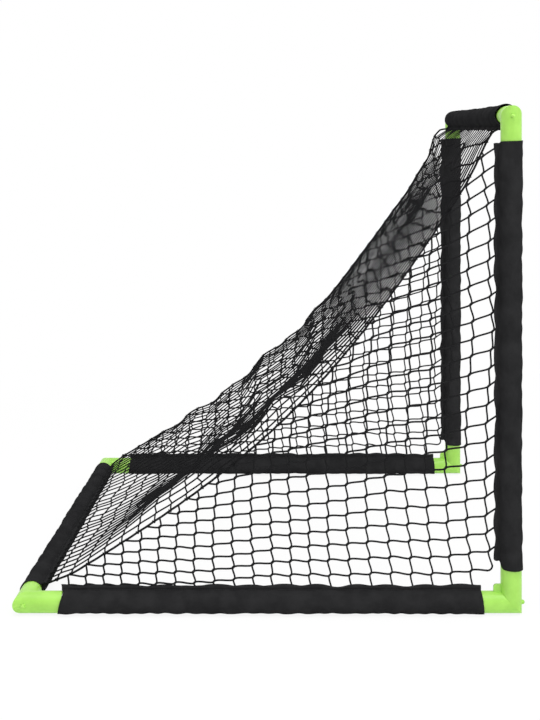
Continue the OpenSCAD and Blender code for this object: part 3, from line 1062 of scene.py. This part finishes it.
def settleCloth(pieces):
    # the spare length of all sleeves buckles between their seams, in one run of the cloth solver
    points = np.concatenate([piece.reshape(-1, 3) for piece in pieces]) * sleeve["scale"]
    faces, first = [], 0
    for piece in pieces:
        faces += tubeFaces(piece.shape[0], piece.shape[1], first)
        first += piece.shape[0] * piece.shape[1]
    cloth = addMesh("settling", points, faces)
    held = np.flatnonzero(np.concatenate([heldPoints(piece) for piece in pieces]))
    cloth.vertex_groups.new(name="held").add(held.tolist(), 1.0, "REPLACE")
    solver = cloth.modifiers.new("cloth", "CLOTH")
    for key, value in solverSettings.items():
        setattr(solver.settings, key, value)
    solver.settings.effector_weights.gravity = solverGravity
    solver.collision_settings.use_collision = False
    solver.point_cache.frame_end = sleeve["frames"]
    for number in range(1, sleeve["frames"] + 1):
        bpy.context.scene.frame_set(number)
    settled = cloth.evaluated_get(bpy.context.evaluated_depsgraph_get()).to_mesh()
    places = np.empty(len(settled.vertices) * 3)
    settled.vertices.foreach_get("co", places)
    bpy.data.objects.remove(cloth)
    bpy.context.scene.frame_set(1)
    places = places.reshape(-1, 3) / sleeve["scale"]
    ends = np.cumsum([piece.shape[0] * piece.shape[1] for piece in pieces])[:-1]
    return [part.reshape(piece.shape) for part, piece in zip(np.split(places, ends), pieces)]


def keepClear(fabric, depth, start, axis, length):
    # the fabric stays off the pipe and off the floor
    outward = fabric - np.asarray(start) - depth[..., None] * np.asarray(axis, float)
    far = np.linalg.norm(outward, axis=-1) / mm
    toCorner = np.minimum(depth, length - depth) / mm
    least = np.where(toCorner < sleeve["fittingReach"], sleeve["overFitting"], sleeve["leastRound"])
    limit = np.where(sectionReach < sleeve["pocket"][0], np.clip(far, least, sleeve["mostRound"]), far)
    fabric = fabric + outward * (limit / far - 1)[..., None]
    fabric[..., 2] = np.maximum(fabric[..., 2], (sleeve["aboveFloor"] + sleeve["skin"] / 2) * mm)
    return fabric


fabricLook = {
    "deep": (37, 37, 38),
    "face": (48, 48, 49),
    "thread": 0.9 * mm,
    "cloud": 22 * mm,
    "cloudEdge": (0.3, 0.7),
    "slub": 2.2 * mm,
    "lint": 1.6 * mm,
    "lintEdge": (0.76, 0.80),
    # painted shade: the crease along the flange is given this darker colour, over this width
    "creaseShade": (20, 20, 21),
    "creaseShadeWidth": (0.4 * mm, 1.6 * mm),
    "stitch": (70, 70, 72),
    "stitchWidth": (0.25 * mm, 0.5 * mm),
    "stitchLength": 3.2 * mm,
    "stitchGap": (-0.75, -0.45),
    # shares in the tone: of the cloud, the weave and the slubs, then of the painted shade in the crease,
    # of lint and of a stitch
    "toneShares": (0.6, 0.12, 0.3),
    "creaseShadeShare": 0.5,
    "lintShare": 0.5,
    "stitchShare": 0.8,
    "roughness": 0.62,
    "roughShares": (0.08, 0.05),  # of the cloud and the weave
    "relief": 0.12 * mm,
    "reliefShares": (0.5, 0.7, 2.0),  # of the weave, the slubs and the stitches
}


def sleeveFabric():
    look = fabricLook
    board = Board(bpy.data.materials.new("sleeve_fabric"))
    lengthwise, roundwise = board.clothWay()
    place = board.place()
    weave = board.sine(lengthwise, look["thread"]) * board.sine(roundwise, look["thread"])
    cloud = board.between(board.noise(place, look["cloud"], 3.0), *look["cloudEdge"])
    slub = board.noise(place, look["slub"], 3.0)
    lint = board.between(board.noise(place, look["lint"]), *look["lintEdge"])
    # a row of stitches along the flange, in a crease that is darkened with painted shade
    fromSeam = board.sum("ABSOLUTE", roundwise - stitchLine)
    dash = board.between(board.sine(lengthwise, look["stitchLength"]), *look["stitchGap"])
    stitch = (1 - board.between(fromSeam, *look["stitchWidth"])) * dash
    # painted shade darkens the fabric in the crease along the flange
    creaseShade = 1 - board.between(fromSeam, *look["creaseShadeWidth"])
    light = board.blend(look["toneShares"], (cloud, weave, slub))
    tone = board.mix(light, srgb(*look["deep"]), srgb(*look["face"]))
    tone = board.mix(creaseShade * look["creaseShadeShare"], tone, srgb(*look["creaseShade"]))
    bright = board.sum("MAXIMUM", lint * look["lintShare"], stitch * look["stitchShare"])
    board.paint({
        "Base Color": board.mix(bright, tone, srgb(*look["stitch"])),
        "Roughness": board.blend(look["roughShares"], (cloud, weave)) + look["roughness"],
        "Specular IOR Level": 0.0,
        "Normal": board.bump(board.blend(look["reliefShares"], (weave, slub, stitch)), look["relief"]),
    })
    return board.owner


fabricBlack = sleeveFabric()


def sewSleeve(fabric, name, start, axis, flange, length):
    depth = (fabric - np.asarray(start)) @ np.asarray(axis, float)
    fabric = keepClear(fabric, depth, start, axis, length)
    rings, sides = fabric.shape[:2]
    uvs = tubeMap(np.linspace(0, length, rings), sectionRun * mm)
    skin = addMesh(name + "_fabric", fabric.reshape(-1, 3), tubeFaces(rings, sides), fabricBlack, uvs)
    smoothing = skin.modifiers.new("smooth", "SUBSURF")
    smoothing.levels = smoothing.render_levels = 1
    thick = skin.modifiers.new("thickness", "SOLIDIFY")
    thick.thickness = sleeve["skin"] * mm
    thick.offset = 0
    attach(skin, "root")
    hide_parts(name)
    # the length of the settled fabric along the pipe, worked out here and not used
    depth[-1].mean() - depth[0].mean()


sleeves = sleeveLayout()
fabrics = [sleevePoints(*entry, 40 + k) for k, entry in enumerate(sleeves)]
fabrics = settleCloth(fabrics)
for fabric, entry in zip(fabrics, sleeves):
    sewSleeve(fabric, *entry)
print("sleeves sewn on")
